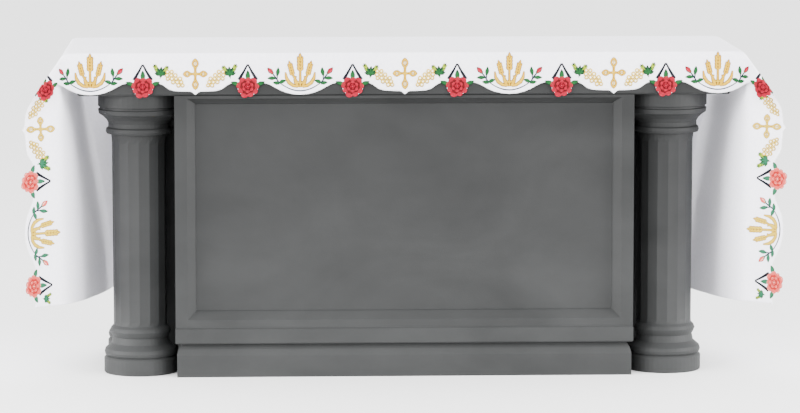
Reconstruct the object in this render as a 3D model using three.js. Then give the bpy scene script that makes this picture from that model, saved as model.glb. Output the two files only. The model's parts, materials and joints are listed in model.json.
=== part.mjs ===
// White altar cloth with a scalloped front edge, lying over a plain stone altar table.
// Millimetres. X runs along the altar, Y from its front (-Y) to its back, Z up from the floor.
import * as THREE from "three";

// Altar table
const TOP_Z = 1000;
const SLAB = { halfLength: 1000, halfDepth: 320, thick: 130, arris: 5 };
const BLOCK = { halfLength: 705, halfDepth: 318, foot: 153, gap: 0.3, face: 58, waist: 686 };
const POST = { inner: 709, outer: 742, halfDepth: 45 };
const PANEL = { halfLength: 640, low: 205, high: 842, deep: 26, bevel: 27 };
const COLUMN = { x: 816, y: 186, flutes: 16, perFlute: 3, fluteDeep: 1.8 };

// Cloth
const CLOTH = {
  thick: 2,
  restGap: 0.3,
  frontGap: 2,
  frontReach: 826,
  backReach: 856,
  frontHang: 130,
  backHang: 140,
};
const PITCH = 320;
const BULGE = 50;
const PANEL_TUCK = 130;
const TUCK_LENGTH = 420;
const TUCK_FALL = 780;
const TUCK_CURVE = 1.6;
const ROUND = { along: 35, edge: 5, corner: 30, frontDrop: 55, backDrop: 16 };
const MID_Z = TOP_Z + CLOTH.restGap + CLOTH.thick / 2;
const EDGE_Y = SLAB.halfDepth + CLOTH.frontGap + CLOTH.thick / 2;
const TOP_DEPTH = 2 * EDGE_Y;

// Corners of the left end, headings in degrees in plan, anticlockwise from +X: those of the ear
// and of the strip beside it, and of the upright strip lower down, at its inner and outer edge
const FRONT_CORNER = { y: -EDGE_Y, strip: 185, ear: 240, innerLow: 192, outerLow: 228 };
const BACK_CORNER = { y: EDGE_Y, strip: 50, ear: 18, innerLow: 55, outerLow: 12 };
const UPRIGHT = { from: 150, to: 340, width: 130, sway: 5 };

// Column rows: height above the floor, radius, and how much of the flutes' depth is cut
const COLUMN_ROWS = [
  { z: 0, r: 110, cut: 0 },
  { z: 3, r: 113, cut: 0 },
  { z: 46, r: 113, cut: 0 },
  { z: 50, r: 110, cut: 0 },
  { z: 53, r: 106, cut: 0 },
  { z: 58, r: 110, cut: 0 },
  { z: 66, r: 112, cut: 0 },
  { z: 76, r: 109, cut: 0 },
  { z: 83, r: 101, cut: 0 },
  { z: 92, r: 90, cut: 0 },
  { z: 112, r: 86, cut: 0 },
  { z: 121, r: 91, cut: 0 },
  { z: 131, r: 95, cut: 0 },
  { z: 141, r: 91, cut: 0 },
  { z: 149, r: 83, cut: 0 },
  { z: 162, r: 83, cut: 1 },
  { z: 716, r: 84, cut: 1 },
  { z: 730, r: 85, cut: 0 },
  { z: 743, r: 87, cut: 0 },
  { z: 745, r: 100, cut: 0 },
  { z: 752, r: 103, cut: 0 },
  { z: 761, r: 101, cut: 0 },
  { z: 765, r: 95, cut: 0 },
  { z: 778, r: 95, cut: 0 },
  { z: 789, r: 101, cut: 0 },
  { z: 800, r: 113, cut: 0 },
  { z: 807, r: 124, cut: 0 },
  { z: 820, r: 126, cut: 0 },
  { z: 822, r: 121, cut: 0 },
  { z: 828, r: 121, cut: 0 },
  { z: 830, r: 126, cut: 0 },
  { z: 869.7, r: 126, cut: 0 },
];

// Stepped foot of the block: height, half length, half depth
const FOOT_ROWS = [
  { z: 0, x: 701, y: 318 },
  { z: 67, x: 701, y: 318 },
  { z: 76, x: 699, y: 316 },
  { z: 86, x: 696, y: 312 },
  { z: 95, x: 689, y: 305 },
  { z: 103, x: 686, y: 302 },
  { z: 103.5, x: 703, y: 319 },
  { z: 107, x: 706, y: 322 },
  { z: 149, x: 706, y: 322 },
  { z: 152.7, x: 702, y: 318 },
];

// Half of each scallop of the free edge: distance from its middle, and how far it hangs
const CROSS_SCALLOP = [
  { at: 0, hang: 126 },
  { at: 6, hang: 122 },
  { at: 14, hang: 117 },
  { at: 64, hang: 115 },
  { at: 80, hang: 110 },
  { at: 98, hang: 97 },
  { at: 116, hang: 92 },
  { at: 127, hang: 92 },
];
const SPRAY_SCALLOP = [
  { at: 0, hang: 127 },
  { at: 24, hang: 125 },
  { at: 45, hang: 120 },
  { at: 64, hang: 112 },
  { at: 90, hang: 98 },
  { at: 116, hang: 92 },
  { at: 127, hang: 92 },
];
const ROSE = { middle: 106, halfWide: 32, halfHigh: 28 };

// Column positions within half a pitch that follow the edge, from a scallop's middle to its rose
const EDGE_STEPS = [0, 32, 72, 98, 125, 130, 142, 160];
const EAR_STEPS = [-15, 12, 38, 58, 78, 100, 171, 214];
const FRONT_SHARES = [1, 0.72, 0.45, 0.2];
const EDGE_ROWS = [-6, 0, 6];
const TOP_ROWS = [80, 260, 480];
const BACK_SHARES = [0.4, 1];

const radians = THREE.MathUtils.degToRad;
const blend = (from, to, x) => THREE.MathUtils.smoothstep(x, from, to);

function tableValue(rows, x, from, to) {
  const i = Math.max(1, rows.findIndex((row) => row[from] >= x));
  const a = rows[i - 1];
  const b = rows[i];
  return a[to] + ((b[to] - a[to]) * (x - a[from])) / (b[from] - a[from]);
}

// How far the free edge hangs in front of the table's edge, s along the cloth from its middle
function edgeHang(s) {
  const inPitch = Math.abs(s) % (2 * PITCH);
  const nearCross = inPitch < PITCH / 2 || inPitch > 1.5 * PITCH;
  const off = inPitch > 1.5 * PITCH ? 2 * PITCH - inPitch : inPitch;
  const fromMiddle = nearCross ? off : Math.abs(inPitch - PITCH);
  const fromRose = PITCH / 2 - fromMiddle;
  const rows = nearCross ? CROSS_SCALLOP : SPRAY_SCALLOP;
  const plain = fromMiddle >= 127 ? 92 : tableValue(rows, fromMiddle, "at", "hang");
  const across = Math.min(1, fromRose / ROSE.halfWide);
  const rose = ROSE.middle + ROSE.halfHigh * Math.sqrt(1 - across * across);
  return fromRose < ROSE.halfWide ? Math.max(plain, rose) : plain;
}

// Direction from a corner point of the cloth at flat angle phi, round a loop one right angle long
function cornerDirection(phi, corner) {
  const half = radians((corner.ear - corner.strip) / 2);
  const middle = radians((corner.ear + corner.strip) / 2);
  const open = Math.abs(half);
  const turn = Math.PI + 2 * open;
  const straight = Math.PI / 2 / (2 + Math.tan(open) * turn);
  const radius = straight * Math.tan(open);
  const centre = straight / Math.cos(open);
  let out;
  let aside;
  if (phi <= straight) {
    out = phi * Math.cos(open);
    aside = -phi * Math.sin(open);
  } else if (phi < straight + radius * turn) {
    const round = -open - Math.PI / 2 + (phi - straight) / radius;
    out = centre + radius * Math.cos(round);
    aside = radius * Math.sin(round);
  } else {
    out = (Math.PI / 2 - phi) * Math.cos(open);
    aside = (Math.PI / 2 - phi) * Math.sin(open);
  }
  aside *= Math.sign(half);
  const tilt = Math.max(Math.hypot(out, aside), 1e-9);
  const side = Math.sin(tilt) / tilt;
  const x = out * Math.cos(middle) - aside * Math.sin(middle);
  const y = out * Math.sin(middle) + aside * Math.cos(middle);
  return new THREE.Vector3(x * side, y * side, -Math.cos(tilt));
}

// Side panel below the end of the table: fall below the top, and distance back from its front
function sidePanel(fall, back) {
  const k = 1 - (1 - Math.min(1, fall / TUCK_FALL)) ** TUCK_CURVE;
  const whole = 1 - Math.exp(-TOP_DEPTH / TUCK_LENGTH);
  const tuck = (PANEL_TUCK * (1 - Math.exp(-back / TUCK_LENGTH))) / whole;
  const slope = (k * PANEL_TUCK) / (TUCK_LENGTH * whole);
  const lost = (t) => ((slope * slope * TUCK_LENGTH) / 4) * (1 - Math.exp((-2 * t) / TUCK_LENGTH));
  const wave = 3 * blend(0, 400, fall) * Math.sin(back / 150 + fall / 260);
  return new THREE.Vector3(
    -(SLAB.halfLength + BULGE) + tuck * k + wave * blend(0, 120, back),
    -EDGE_Y + back + lost(TOP_DEPTH) - lost(back),
    MID_Z - fall,
  );
}

// Strip beside the panel's front or back edge: curved in plan and upright once below the ear
function uprightStrip(fall, out, corner) {
  const sway = UPRIGHT.sway * Math.sin(fall / 105 + 0.6);
  const start = radians(corner.innerLow + sway);
  const bend = radians(corner.outerLow - corner.innerLow) / UPRIGHT.width;
  const end = start + out * bend;
  const base = sidePanel(fall, corner.y < 0 ? 0 : TOP_DEPTH);
  base.x += (Math.sin(end) - Math.sin(start)) / bend;
  base.y += (Math.cos(start) - Math.cos(end)) / bend;
  return base;
}

// Folded shape before rounding. s runs along the cloth, b is the distance in front of the edge
function folded(s, b) {
  const fall = Math.abs(s) - SLAB.halfLength - BULGE;
  const behind = -b - TOP_DEPTH;
  const corner = b > 0 ? FRONT_CORNER : BACK_CORNER;
  const out = Math.max(b, behind);
  const p = new THREE.Vector3();
  if (fall <= 0) {
    const ripple = (2 * Math.max(0, b) * (1 + Math.sin(s / 68 + 1))) / CLOTH.frontHang;
    const y = THREE.MathUtils.clamp(-EDGE_Y - b, -EDGE_Y, EDGE_Y);
    p.set(-Math.abs(s), y - ripple, MID_Z - Math.max(0, out));
  } else if (out <= 0) {
    p.copy(sidePanel(fall, -b));
  } else {
    const cone = cornerDirection(Math.atan2(out, fall), corner);
    cone.multiplyScalar(Math.hypot(out, fall));
    cone.add(new THREE.Vector3(-(SLAB.halfLength + BULGE), corner.y, MID_Z));
    const share = blend(UPRIGHT.from, UPRIGHT.to, fall);
    p.copy(cone.lerp(uprightStrip(fall, out, corner), share));
  }
  if (s > 0) p.x = -p.x;
  return p;
}

// The folded shape with every fold rounded by a weighted mean over its neighbourhood
function draped(s, b) {
  const a = Math.abs(s) - SLAB.halfLength;
  const cornered = blend(-5, 55, a);
  const reach = ROUND.edge + (ROUND.corner - ROUND.edge) * cornered;
  const front = blend(-400, -250, b);
  const drop = ROUND.backDrop + (ROUND.frontDrop - ROUND.backDrop) * front;
  const across = reach + (drop - ROUND.corner) * blend(60, 320, a);
  const p = new THREE.Vector3();
  let whole = 0;
  for (let i = -3; i <= 3; i += 1) {
    for (let j = -3; j <= 3; j += 1) {
      const weight = (16 - i * i) * (16 - j * j);
      p.addScaledVector(folded(s + (i / 4) * ROUND.along, b + (j / 4) * across), weight);
      whole += weight;
    }
  }
  return p.divideScalar(whole);
}

function clothStations() {
  const end = SLAB.halfLength + CLOTH.frontReach;
  const half = new Set([0]);
  for (let middle = 0; middle < end + PITCH; middle += PITCH) {
    for (const step of EDGE_STEPS) {
      if (middle + step < end - 8) half.add(middle + step);
      if (middle - step > 0 && middle - step < end - 8) half.add(middle - step);
    }
  }
  for (const step of EAR_STEPS) half.add(SLAB.halfLength + step);
  half.add(end);
  const sorted = [...half].sort((m, n) => m - n).filter((x, i, all) => i === 0 || x - all[i - 1] > 4);
  return [...sorted.slice(1).map((x) => -x).reverse(), ...sorted];
}

// The end hems hang a little lower at the back than at the front
function towardsHem(s, b) {
  const past = Math.max(0, Math.abs(s) - SLAB.halfLength) / CLOTH.frontReach;
  const longer = (CLOTH.backReach - CLOTH.frontReach) * THREE.MathUtils.clamp(-b / TOP_DEPTH, 0, 1);
  return s + Math.sign(s) * past * longer;
}

function clothGeometry() {
  const stations = clothStations();
  const lines = stations.map((s) => {
    const front = FRONT_SHARES.map((share) => edgeHang(s) * share);
    const top = [...EDGE_ROWS, ...TOP_ROWS, ...EDGE_ROWS.map((t) => t + TOP_DEPTH)];
    const back = BACK_SHARES.map((share) => TOP_DEPTH + CLOTH.backHang * share);
    return [...front, ...[...top, ...back].map((t) => -t)].map((b) => ({ s: towardsHem(s, b), b }));
  });
  const points = [];
  for (const side of [1, -1]) {
    for (const line of lines) {
      for (const { s, b } of line) {
        const along = draped(s + 1.5, b).sub(draped(s - 1.5, b));
        const back = draped(s, b - 1.5).sub(draped(s, b + 1.5));
        const normal = along.cross(back).normalize();
        points.push(draped(s, b).addScaledVector(normal, (side * CLOTH.thick) / 2));
      }
    }
  }
  const rows = lines[0].length;
  const layer = stations.length * rows;
  const at = (side, i, j) => side * layer + i * rows + j;
  const faces = [];
  const quad = (a, b, c, d) => faces.push(a, b, c, a, c, d);
  for (let i = 0; i + 1 < stations.length; i += 1) {
    for (let j = 0; j + 1 < rows; j += 1) {
      quad(at(0, i, j), at(0, i + 1, j), at(0, i + 1, j + 1), at(0, i, j + 1));
      quad(at(1, i, j + 1), at(1, i + 1, j + 1), at(1, i + 1, j), at(1, i, j));
    }
    quad(at(0, i + 1, 0), at(0, i, 0), at(1, i, 0), at(1, i + 1, 0));
    const k = rows - 1;
    quad(at(0, i, k), at(0, i + 1, k), at(1, i + 1, k), at(1, i, k));
  }
  for (let j = 0; j + 1 < rows; j += 1) {
    const m = stations.length - 1;
    quad(at(0, 0, j), at(0, 0, j + 1), at(1, 0, j + 1), at(1, 0, j));
    quad(at(0, m, j + 1), at(0, m, j), at(1, m, j), at(1, m, j + 1));
  }
  const geometry = new THREE.BufferGeometry().setFromPoints(points);
  geometry.setIndex(faces);
  return geometry;
}

// Closed surface through rings of equal length, with a fan over its first and last ring
function ringGeometry(rings) {
  const n = rings[0].length;
  const faces = [];
  for (let i = 0; i + 1 < rings.length; i += 1) {
    for (let j = 0; j < n; j += 1) {
      const k = (j + 1) % n;
      faces.push(i * n + j, i * n + k, (i + 1) * n + k);
      faces.push(i * n + j, (i + 1) * n + k, (i + 1) * n + j);
    }
  }
  const last = (rings.length - 1) * n;
  for (let j = 1; j + 1 < n; j += 1) {
    faces.push(0, j + 1, j);
    faces.push(last, last + j, last + j + 1);
  }
  const geometry = new THREE.BufferGeometry().setFromPoints(rings.flat());
  geometry.setIndex(faces);
  return geometry;
}

function levelRing(z, x, y) {
  const corners = [[-x, -y], [x, -y], [x, y], [-x, y]];
  return corners.map(([px, py]) => new THREE.Vector3(px, py, z));
}

function slabGeometry() {
  const { halfLength: x, halfDepth: y, thick, arris: c } = SLAB;
  const low = TOP_Z - thick;
  return ringGeometry([
    levelRing(low, x - c, y - c),
    levelRing(low + c, x, y),
    levelRing(TOP_Z - c, x, y),
    levelRing(TOP_Z, x - c, y - c),
  ]);
}

// Upright rectangle facing the front, for the block and its framed hollow
function uprightRing(y, x, low, high) {
  const corners = [[-x, low], [-x, high], [x, high], [x, low]];
  return corners.map(([px, pz]) => new THREE.Vector3(px, y, pz));
}

function blockGeometry() {
  const { halfLength: x, halfDepth: y, foot, gap, face, waist } = BLOCK;
  const high = TOP_Z - SLAB.thick - gap;
  const { halfLength: px, low: pl, high: ph, deep, bevel } = PANEL;
  return ringGeometry([
    uprightRing(-y + deep, px, pl, ph),
    uprightRing(-y + deep * 0.8, px + bevel * 0.12, pl - bevel * 0.12, ph + bevel * 0.12),
    uprightRing(-y + deep * 0.45, px + bevel * 0.5, pl - bevel * 0.5, ph + bevel * 0.4),
    uprightRing(-y, px + bevel, pl - bevel, ph + bevel * 0.7),
    uprightRing(-y, x, foot, high),
    uprightRing(-y + face, x, foot, high),
    uprightRing(-y + face + 4, waist, foot, high),
    uprightRing(y - face - 4, waist, foot, high),
    uprightRing(y - face, x, foot, high),
    uprightRing(y, x, foot, high),
  ]);
}

function footGeometry() {
  return ringGeometry(FOOT_ROWS.map((row) => levelRing(row.z, row.x, row.y)));
}

// Plain post between the two columns of one end
function postGeometry(side) {
  const { inner, outer, halfDepth } = POST;
  const high = TOP_Z - SLAB.thick - BLOCK.gap;
  const half = (outer - inner) / 2;
  const geometry = ringGeometry([levelRing(0, half, halfDepth), levelRing(high, half, halfDepth)]);
  geometry.translate(side * (outer + inner) / 2, 0, 0);
  return geometry;
}

function columnGeometry(x, y) {
  const count = COLUMN.flutes * COLUMN.perFlute;
  const rings = COLUMN_ROWS.map((row) => {
    const ring = [];
    for (let i = 0; i < count; i += 1) {
      const angle = (i / count) * 2 * Math.PI;
      const hollow = i % COLUMN.perFlute === 0 ? 0 : COLUMN.fluteDeep;
      const r = row.r - row.cut * hollow;
      ring.push(new THREE.Vector3(x + r * Math.cos(angle), y + r * Math.sin(angle), row.z));
    }
    return ring;
  });
  return ringGeometry(rings);
}

function piece(name, geometry, colour) {
  const material = new THREE.MeshStandardMaterial({ color: colour, roughness: 0.8 });
  material.name = name;
  const mesh = new THREE.Mesh(geometry, material);
  mesh.name = name;
  return mesh;
}

const STONE = 0x8c8c8e;
const altar = new THREE.Group();
altar.add(piece("altar_cloth", clothGeometry(), 0xf1f1f5));
altar.add(piece("mensa_slab", slabGeometry(), STONE));
altar.add(piece("support_block", blockGeometry(), STONE));
altar.add(piece("block_foot", footGeometry(), STONE));
for (const [end, x] of [["left", -COLUMN.x], ["right", COLUMN.x]]) {
  for (const [side, y] of [["front", -COLUMN.y], ["back", COLUMN.y]]) {
    altar.add(piece(`column_${side}_${end}`, columnGeometry(x, y), STONE));
  }
  altar.add(piece(`end_post_${end}`, postGeometry(Math.sign(x)), STONE));
}

export default altar;
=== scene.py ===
"""White altar cloth with an embroidered scalloped edge, lying over a plain stone altar table."""

import json
import logging
import math
from dataclasses import dataclass, field
from enum import Enum
from typing import Optional, Sequence

import bpy
import numpy as np
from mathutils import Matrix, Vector

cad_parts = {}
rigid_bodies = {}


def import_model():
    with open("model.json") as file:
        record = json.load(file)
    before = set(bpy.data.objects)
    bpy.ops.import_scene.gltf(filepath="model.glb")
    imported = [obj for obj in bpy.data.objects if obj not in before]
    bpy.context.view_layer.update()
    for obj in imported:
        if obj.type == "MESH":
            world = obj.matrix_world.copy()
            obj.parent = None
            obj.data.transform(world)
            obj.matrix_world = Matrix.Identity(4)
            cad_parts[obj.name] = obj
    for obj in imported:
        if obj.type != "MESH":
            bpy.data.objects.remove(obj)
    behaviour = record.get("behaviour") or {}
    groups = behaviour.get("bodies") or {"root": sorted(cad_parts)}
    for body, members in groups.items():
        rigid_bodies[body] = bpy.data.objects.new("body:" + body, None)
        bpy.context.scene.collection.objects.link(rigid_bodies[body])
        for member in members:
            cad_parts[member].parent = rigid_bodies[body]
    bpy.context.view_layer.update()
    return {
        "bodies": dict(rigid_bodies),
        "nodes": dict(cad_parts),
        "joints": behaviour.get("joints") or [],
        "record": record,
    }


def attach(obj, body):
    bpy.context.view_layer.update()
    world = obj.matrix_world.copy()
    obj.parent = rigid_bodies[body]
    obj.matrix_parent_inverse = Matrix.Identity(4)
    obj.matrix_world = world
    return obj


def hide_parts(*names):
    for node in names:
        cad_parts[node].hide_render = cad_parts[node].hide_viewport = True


LOG = logging.getLogger("altar_cloth")
MM = 0.001
Point = tuple[float, float]


def smooth_step(low: float, high: float, x: np.ndarray) -> np.ndarray:
    """Gives 0 below low, 1 above high and a smooth ramp between them."""
    t = np.clip((x - low) / (high - low), 0.0, 1.0)
    return t * t * (3.0 - 2.0 * t)


# Cloth shape


@dataclass(frozen=True)
class Corner:
    """One free corner of the left end, with plan headings in degrees anticlockwise from +X."""

    y: float
    strip: float
    ear: float
    inner_low: float
    outer_low: float


@dataclass(frozen=True)
class ClothSizes:
    """Sizes of the cloth and of the table under it, in millimetres."""

    half_table: float = 1000.0
    edge_y: float = 323.0
    middle_z: float = 1001.3
    front_reach: float = 826.0
    back_reach: float = 856.0
    front_hang: float = 130.0
    back_hang: float = 140.0
    bulge: float = 50.0
    tuck: float = 130.0
    tuck_length: float = 420.0
    tuck_fall: float = 780.0
    tuck_curve: float = 1.6
    upright_from: float = 150.0
    upright_to: float = 340.0
    upright_width: float = 130.0
    sway: float = 5.0
    round_along: float = 35.0
    round_edge: float = 5.0
    round_corner: float = 30.0
    round_drop: float = 55.0
    round_back: float = 16.0
    pitch: float = 320.0
    thick: float = 1.4

    @property
    def top_depth(self) -> float:
        """Distance over the top from the front fold to the back fold."""
        return 2.0 * self.edge_y

    @property
    def half_length(self) -> float:
        """Half of the cloth's length along its front."""
        return self.half_table + self.front_reach

    def towards_hem(self, s: np.ndarray, b: np.ndarray) -> np.ndarray:
        """Lengthens the drops towards the back, where the end hems hang a little lower.

        Args:
            s: Distances along the cloth from its middle, in millimetres.
            b: Distances in front of the table's front edge, in millimetres.

        Returns:
            The lengthened distances along the cloth.
        """
        past = np.maximum(0, np.abs(s) - self.half_table) / self.front_reach
        longer = (self.back_reach - self.front_reach) * np.clip(-b / self.top_depth, 0, 1)
        return s + np.sign(s) * past * longer


class Scallops:
    """The free front edge: two kinds of scallop in turn, with a rose between each pair."""

    CROSS: tuple[Point, ...] = (
        (0, 127), (4, 124), (9, 119), (16, 117), (40, 116.5), (64, 115),
        (80, 110), (98, 97), (112, 91), (160, 88),
    )
    SPRAY: tuple[Point, ...] = (
        (0, 127), (24, 125), (45, 120), (64, 112), (82, 102), (96, 95), (112, 91), (160, 88),
    )
    ROSE_MIDDLE = 106.0
    ROSE_WIDE = 30.0
    ROSE_HIGH = 25.0

    def __init__(self, pitch: float) -> None:
        """Keeps the distance between two roses."""
        self.pitch = pitch

    def hang(self, s: np.ndarray) -> np.ndarray:
        """Finds how far the edge hangs in front of the table's edge.

        Args:
            s: Distances along the cloth from its middle, in millimetres.

        Returns:
            The hang at each distance, in millimetres.
        """
        turn = np.mod(np.abs(s), 2.0 * self.pitch)
        near_cross = np.minimum(turn, 2.0 * self.pitch - turn)
        near_spray = np.abs(turn - self.pitch)
        cross = np.interp(near_cross, [p[0] for p in self.CROSS], [p[1] for p in self.CROSS])
        spray = np.interp(near_spray, [p[0] for p in self.SPRAY], [p[1] for p in self.SPRAY])
        plain = np.where(near_cross < self.pitch / 2, cross, spray)
        from_rose = np.abs(np.minimum(near_cross, near_spray) - self.pitch / 2) / self.ROSE_WIDE
        lobe = self.ROSE_MIDDLE + self.ROSE_HIGH * np.sqrt(np.clip(1 - from_rose**2, 0, 1))
        return np.where(from_rose < 1, np.maximum(plain, lobe), plain)


class Drape:
    """Carries points of the flat cloth to where they hang, folded over the table."""

    FRONT = Corner(-323.0, 185.0, 240.0, 192.0, 228.0)
    BACK = Corner(323.0, 50.0, 18.0, 55.0, 12.0)

    def __init__(self, sizes: ClothSizes) -> None:
        """Keeps the sizes."""
        self.sizes = sizes

    def _corner_direction(self, phi: np.ndarray, corner: Corner) -> np.ndarray:
        """Gives the direction from a corner point at flat angle phi.

        Args:
            phi: Angles in the flat cloth, in radians.
            corner: The corner, whose loop of directions is one right angle long.

        Returns:
            Unit vectors, one row each.
        """
        half = math.radians(corner.ear - corner.strip) / 2
        middle = math.radians(corner.ear + corner.strip) / 2
        opening = abs(half)
        turn = math.pi + 2 * opening
        straight = math.pi / 2 / (2 + math.tan(opening) * turn)
        radius = straight * math.tan(opening)
        centre = straight / math.cos(opening)
        angle = -opening - math.pi / 2 + (phi - straight) / radius
        back = math.pi / 2 - phi
        first, last = phi <= straight, phi >= straight + radius * turn
        out = np.where(first, phi * math.cos(opening), centre + radius * np.cos(angle))
        out = np.where(last, back * math.cos(opening), out)
        aside = np.where(first, -phi * math.sin(opening), radius * np.sin(angle))
        aside = np.where(last, back * math.sin(opening), aside) * math.copysign(1.0, half)
        tilt = np.maximum(np.hypot(out, aside), 1e-9)
        side = np.sin(tilt) / tilt
        x = out * math.cos(middle) - aside * math.sin(middle)
        y = out * math.sin(middle) + aside * math.cos(middle)
        return np.stack([x * side, y * side, -np.cos(tilt)], axis=-1)

    def _side_panel(self, fall: np.ndarray, back: np.ndarray) -> np.ndarray:
        """Gives points of the panel that hangs below the table's end.

        Args:
            fall: Distances below the top.
            back: Distances behind the front fold.

        Returns:
            Points in millimetres, one row each.
        """
        z = self.sizes
        k = 1 - (1 - np.clip(fall / z.tuck_fall, 0, 1)) ** z.tuck_curve
        whole = 1 - math.exp(-z.top_depth / z.tuck_length)
        tuck = z.tuck * (1 - np.exp(-back / z.tuck_length)) / whole
        slope = k * z.tuck / (z.tuck_length * whole)
        gain = slope * slope * z.tuck_length / 4
        lost_all = gain * (1 - math.exp(-2 * z.top_depth / z.tuck_length))
        lost = gain * (1 - np.exp(-2 * back / z.tuck_length))
        wave = 3 * smooth_step(0, 400, fall) * np.sin(back / 150 + fall / 260)
        x = -(z.half_table + z.bulge) + tuck * k + wave * smooth_step(0, 120, back)
        return np.stack([x, -z.edge_y + back + lost_all - lost, z.middle_z - fall], axis=-1)

    def _upright_strip(self, fall: np.ndarray, out: np.ndarray, corner: Corner) -> np.ndarray:
        """Gives points of the strip beside the panel, below the ear.

        Args:
            fall: Distances below the top.
            out: Distances out from the panel's edge.
            corner: The corner above the strip.

        Returns:
            Points in millimetres, one row each.
        """
        z = self.sizes
        sway = z.sway * np.sin(fall / 105 + 0.6)
        start = np.radians(corner.inner_low + sway)
        bend = math.radians(corner.outer_low - corner.inner_low) / z.upright_width
        end = start + out * bend
        edge = 0.0 if corner.y < 0 else z.top_depth
        base = self._side_panel(fall, np.full_like(fall, edge))
        base[..., 0] += (np.sin(end) - np.sin(start)) / bend
        base[..., 1] += (np.cos(start) - np.cos(end)) / bend
        return base

    def _folded(self, s: np.ndarray, b: np.ndarray) -> np.ndarray:
        """Gives the sharply folded shape.

        Args:
            s: Distances along the cloth from its middle.
            b: Distances in front of the table's front edge.

        Returns:
            Points in millimetres, one row each.
        """
        z = self.sizes
        fall = np.abs(s) - z.half_table - z.bulge
        behind = -b - z.top_depth
        out = np.maximum(b, behind)
        front = np.maximum(b, 0.0)
        ripple = 2 * front * (1 + np.sin(s / 68 + 1)) / z.front_hang
        y = np.clip(-z.edge_y - b, -z.edge_y, z.edge_y) - ripple
        over = np.stack([-np.abs(s), y, z.middle_z - np.maximum(out, 0)], axis=-1)
        down = np.maximum(fall, 1e-6)
        panel = self._side_panel(down, np.clip(-b, 0, z.top_depth))
        share = smooth_step(z.upright_from, z.upright_to, down)[..., None]
        away = np.maximum(out, 1e-6)
        strips = []
        for corner in (self.FRONT, self.BACK):
            cone = self._corner_direction(np.arctan2(away, down), corner)
            cone = cone * np.hypot(away, down)[..., None]
            cone = cone + np.array([-(z.half_table + z.bulge), corner.y, z.middle_z])
            upright = self._upright_strip(down, away, corner)
            strips.append(cone * (1 - share) + upright * share)
        strip = np.where((b > 0)[..., None], strips[0], strips[1])
        hanging = np.where((out <= 0)[..., None], panel, strip)
        points = np.where((fall <= 0)[..., None], over, hanging)
        points[..., 0] = np.where(s > 0, -points[..., 0], points[..., 0])
        return points

    def place(self, s: np.ndarray, b: np.ndarray) -> np.ndarray:
        """Gives where points of the flat cloth hang, with every fold rounded.

        Args:
            s: Distances along the cloth from its middle, in millimetres.
            b: Distances in front of the table's front edge, in millimetres.

        Returns:
            Points in millimetres, one row each.
        """
        z = self.sizes
        a = np.abs(s) - z.half_table
        across = z.round_edge + (z.round_corner - z.round_edge) * smooth_step(-5, 55, a)
        drop = z.round_back + (z.round_drop - z.round_back) * smooth_step(-400, -250, b)
        across = across + (drop - z.round_corner) * smooth_step(60, 320, a)
        total = np.zeros(s.shape + (3,))
        whole = 0.0
        for i in range(-3, 4):
            for j in range(-3, 4):
                weight = (16 - i * i) * (16 - j * j)
                near = self._folded(s + i / 4 * z.round_along, b + j / 4 * across)
                total += weight * near
                whole += weight
        return total / whole

    def _crease(self, s: np.ndarray, b: np.ndarray) -> np.ndarray:
        """Gives the height of soft troughs and ridges above the plain drape, in millimetres.

        Args:
            s: Distances along the cloth from its middle, in millimetres.
            b: Distances in front of the table's front edge, in millimetres.

        Returns:
            The lift along the normal at each place, in millimetres.
        """
        fall = np.abs(s) - self.sizes.half_table
        run = np.clip(-b, 0, None)
        hanging = smooth_step(120, 420, fall) * smooth_step(0, 60, run)
        side = 2.6 * hanging * np.sin(run / 38 + 0.7 * np.sin(fall / 190)) * np.exp(-run / 260)
        wave = np.sin(s / 31 + 0.8 * np.sin(s / 117))
        return side + 1.1 * smooth_step(5, 60, b) * wave * (1 - smooth_step(20, 90, fall))

    def surface(self, s: np.ndarray, b: np.ndarray) -> tuple[np.ndarray, np.ndarray]:
        """Gives the cloth's middle surface with its small creases.

        Args:
            s: Distances along the cloth from its middle.
            b: Distances in front of the table's front edge.

        Returns:
            Points in millimetres and unit normals out of the face side.
        """
        along = self.place(s + 1.5, b) - self.place(s - 1.5, b)
        back = self.place(s, b - 1.5) - self.place(s, b + 1.5)
        cross = np.cross(along, back)
        normals = cross / np.linalg.norm(cross, axis=-1, keepdims=True)
        return self.place(s, b) + normals * self._crease(s, b)[..., None], normals


class DrapeTable:
    """A fine grid of the drape over the border, read by straight interpolation."""

    STEP = 4.0

    def __init__(self, drape: Drape) -> None:
        """Works the grid out once.

        Args:
            drape: The drape to sample.
        """
        z = drape.sizes
        self.s = np.arange(-z.half_length - 20, z.half_length + 20 + self.STEP, self.STEP)
        self.b = np.arange(-16.0, z.front_hang + 24.0, self.STEP)
        s, b = np.meshgrid(self.s, self.b, indexing="ij")
        self.points, self.normals = drape.surface(s, b)

    def read(self, s: np.ndarray, b: np.ndarray) -> tuple[np.ndarray, np.ndarray]:
        """Reads points and normals.

        Args:
            s: Distances along the cloth.
            b: Distances in front of the table's edge.

        Returns:
            The points in millimetres and the unit normals.
        """
        i = np.clip((s - self.s[0]) / self.STEP, 0, len(self.s) - 1.001)
        j = np.clip((b - self.b[0]) / self.STEP, 0, len(self.b) - 1.001)
        i0, j0 = i.astype(int), j.astype(int)
        u, v = (i - i0)[:, None], (j - j0)[:, None]
        found = []
        for grid in (self.points, self.normals):
            low = grid[i0, j0] * (1 - v) + grid[i0, j0 + 1] * v
            high = grid[i0 + 1, j0] * (1 - v) + grid[i0 + 1, j0 + 1] * v
            found.append(low * (1 - u) + high * u)
        normals = found[1] / np.linalg.norm(found[1], axis=-1, keepdims=True)
        return found[0], normals


# Finishes


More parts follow.
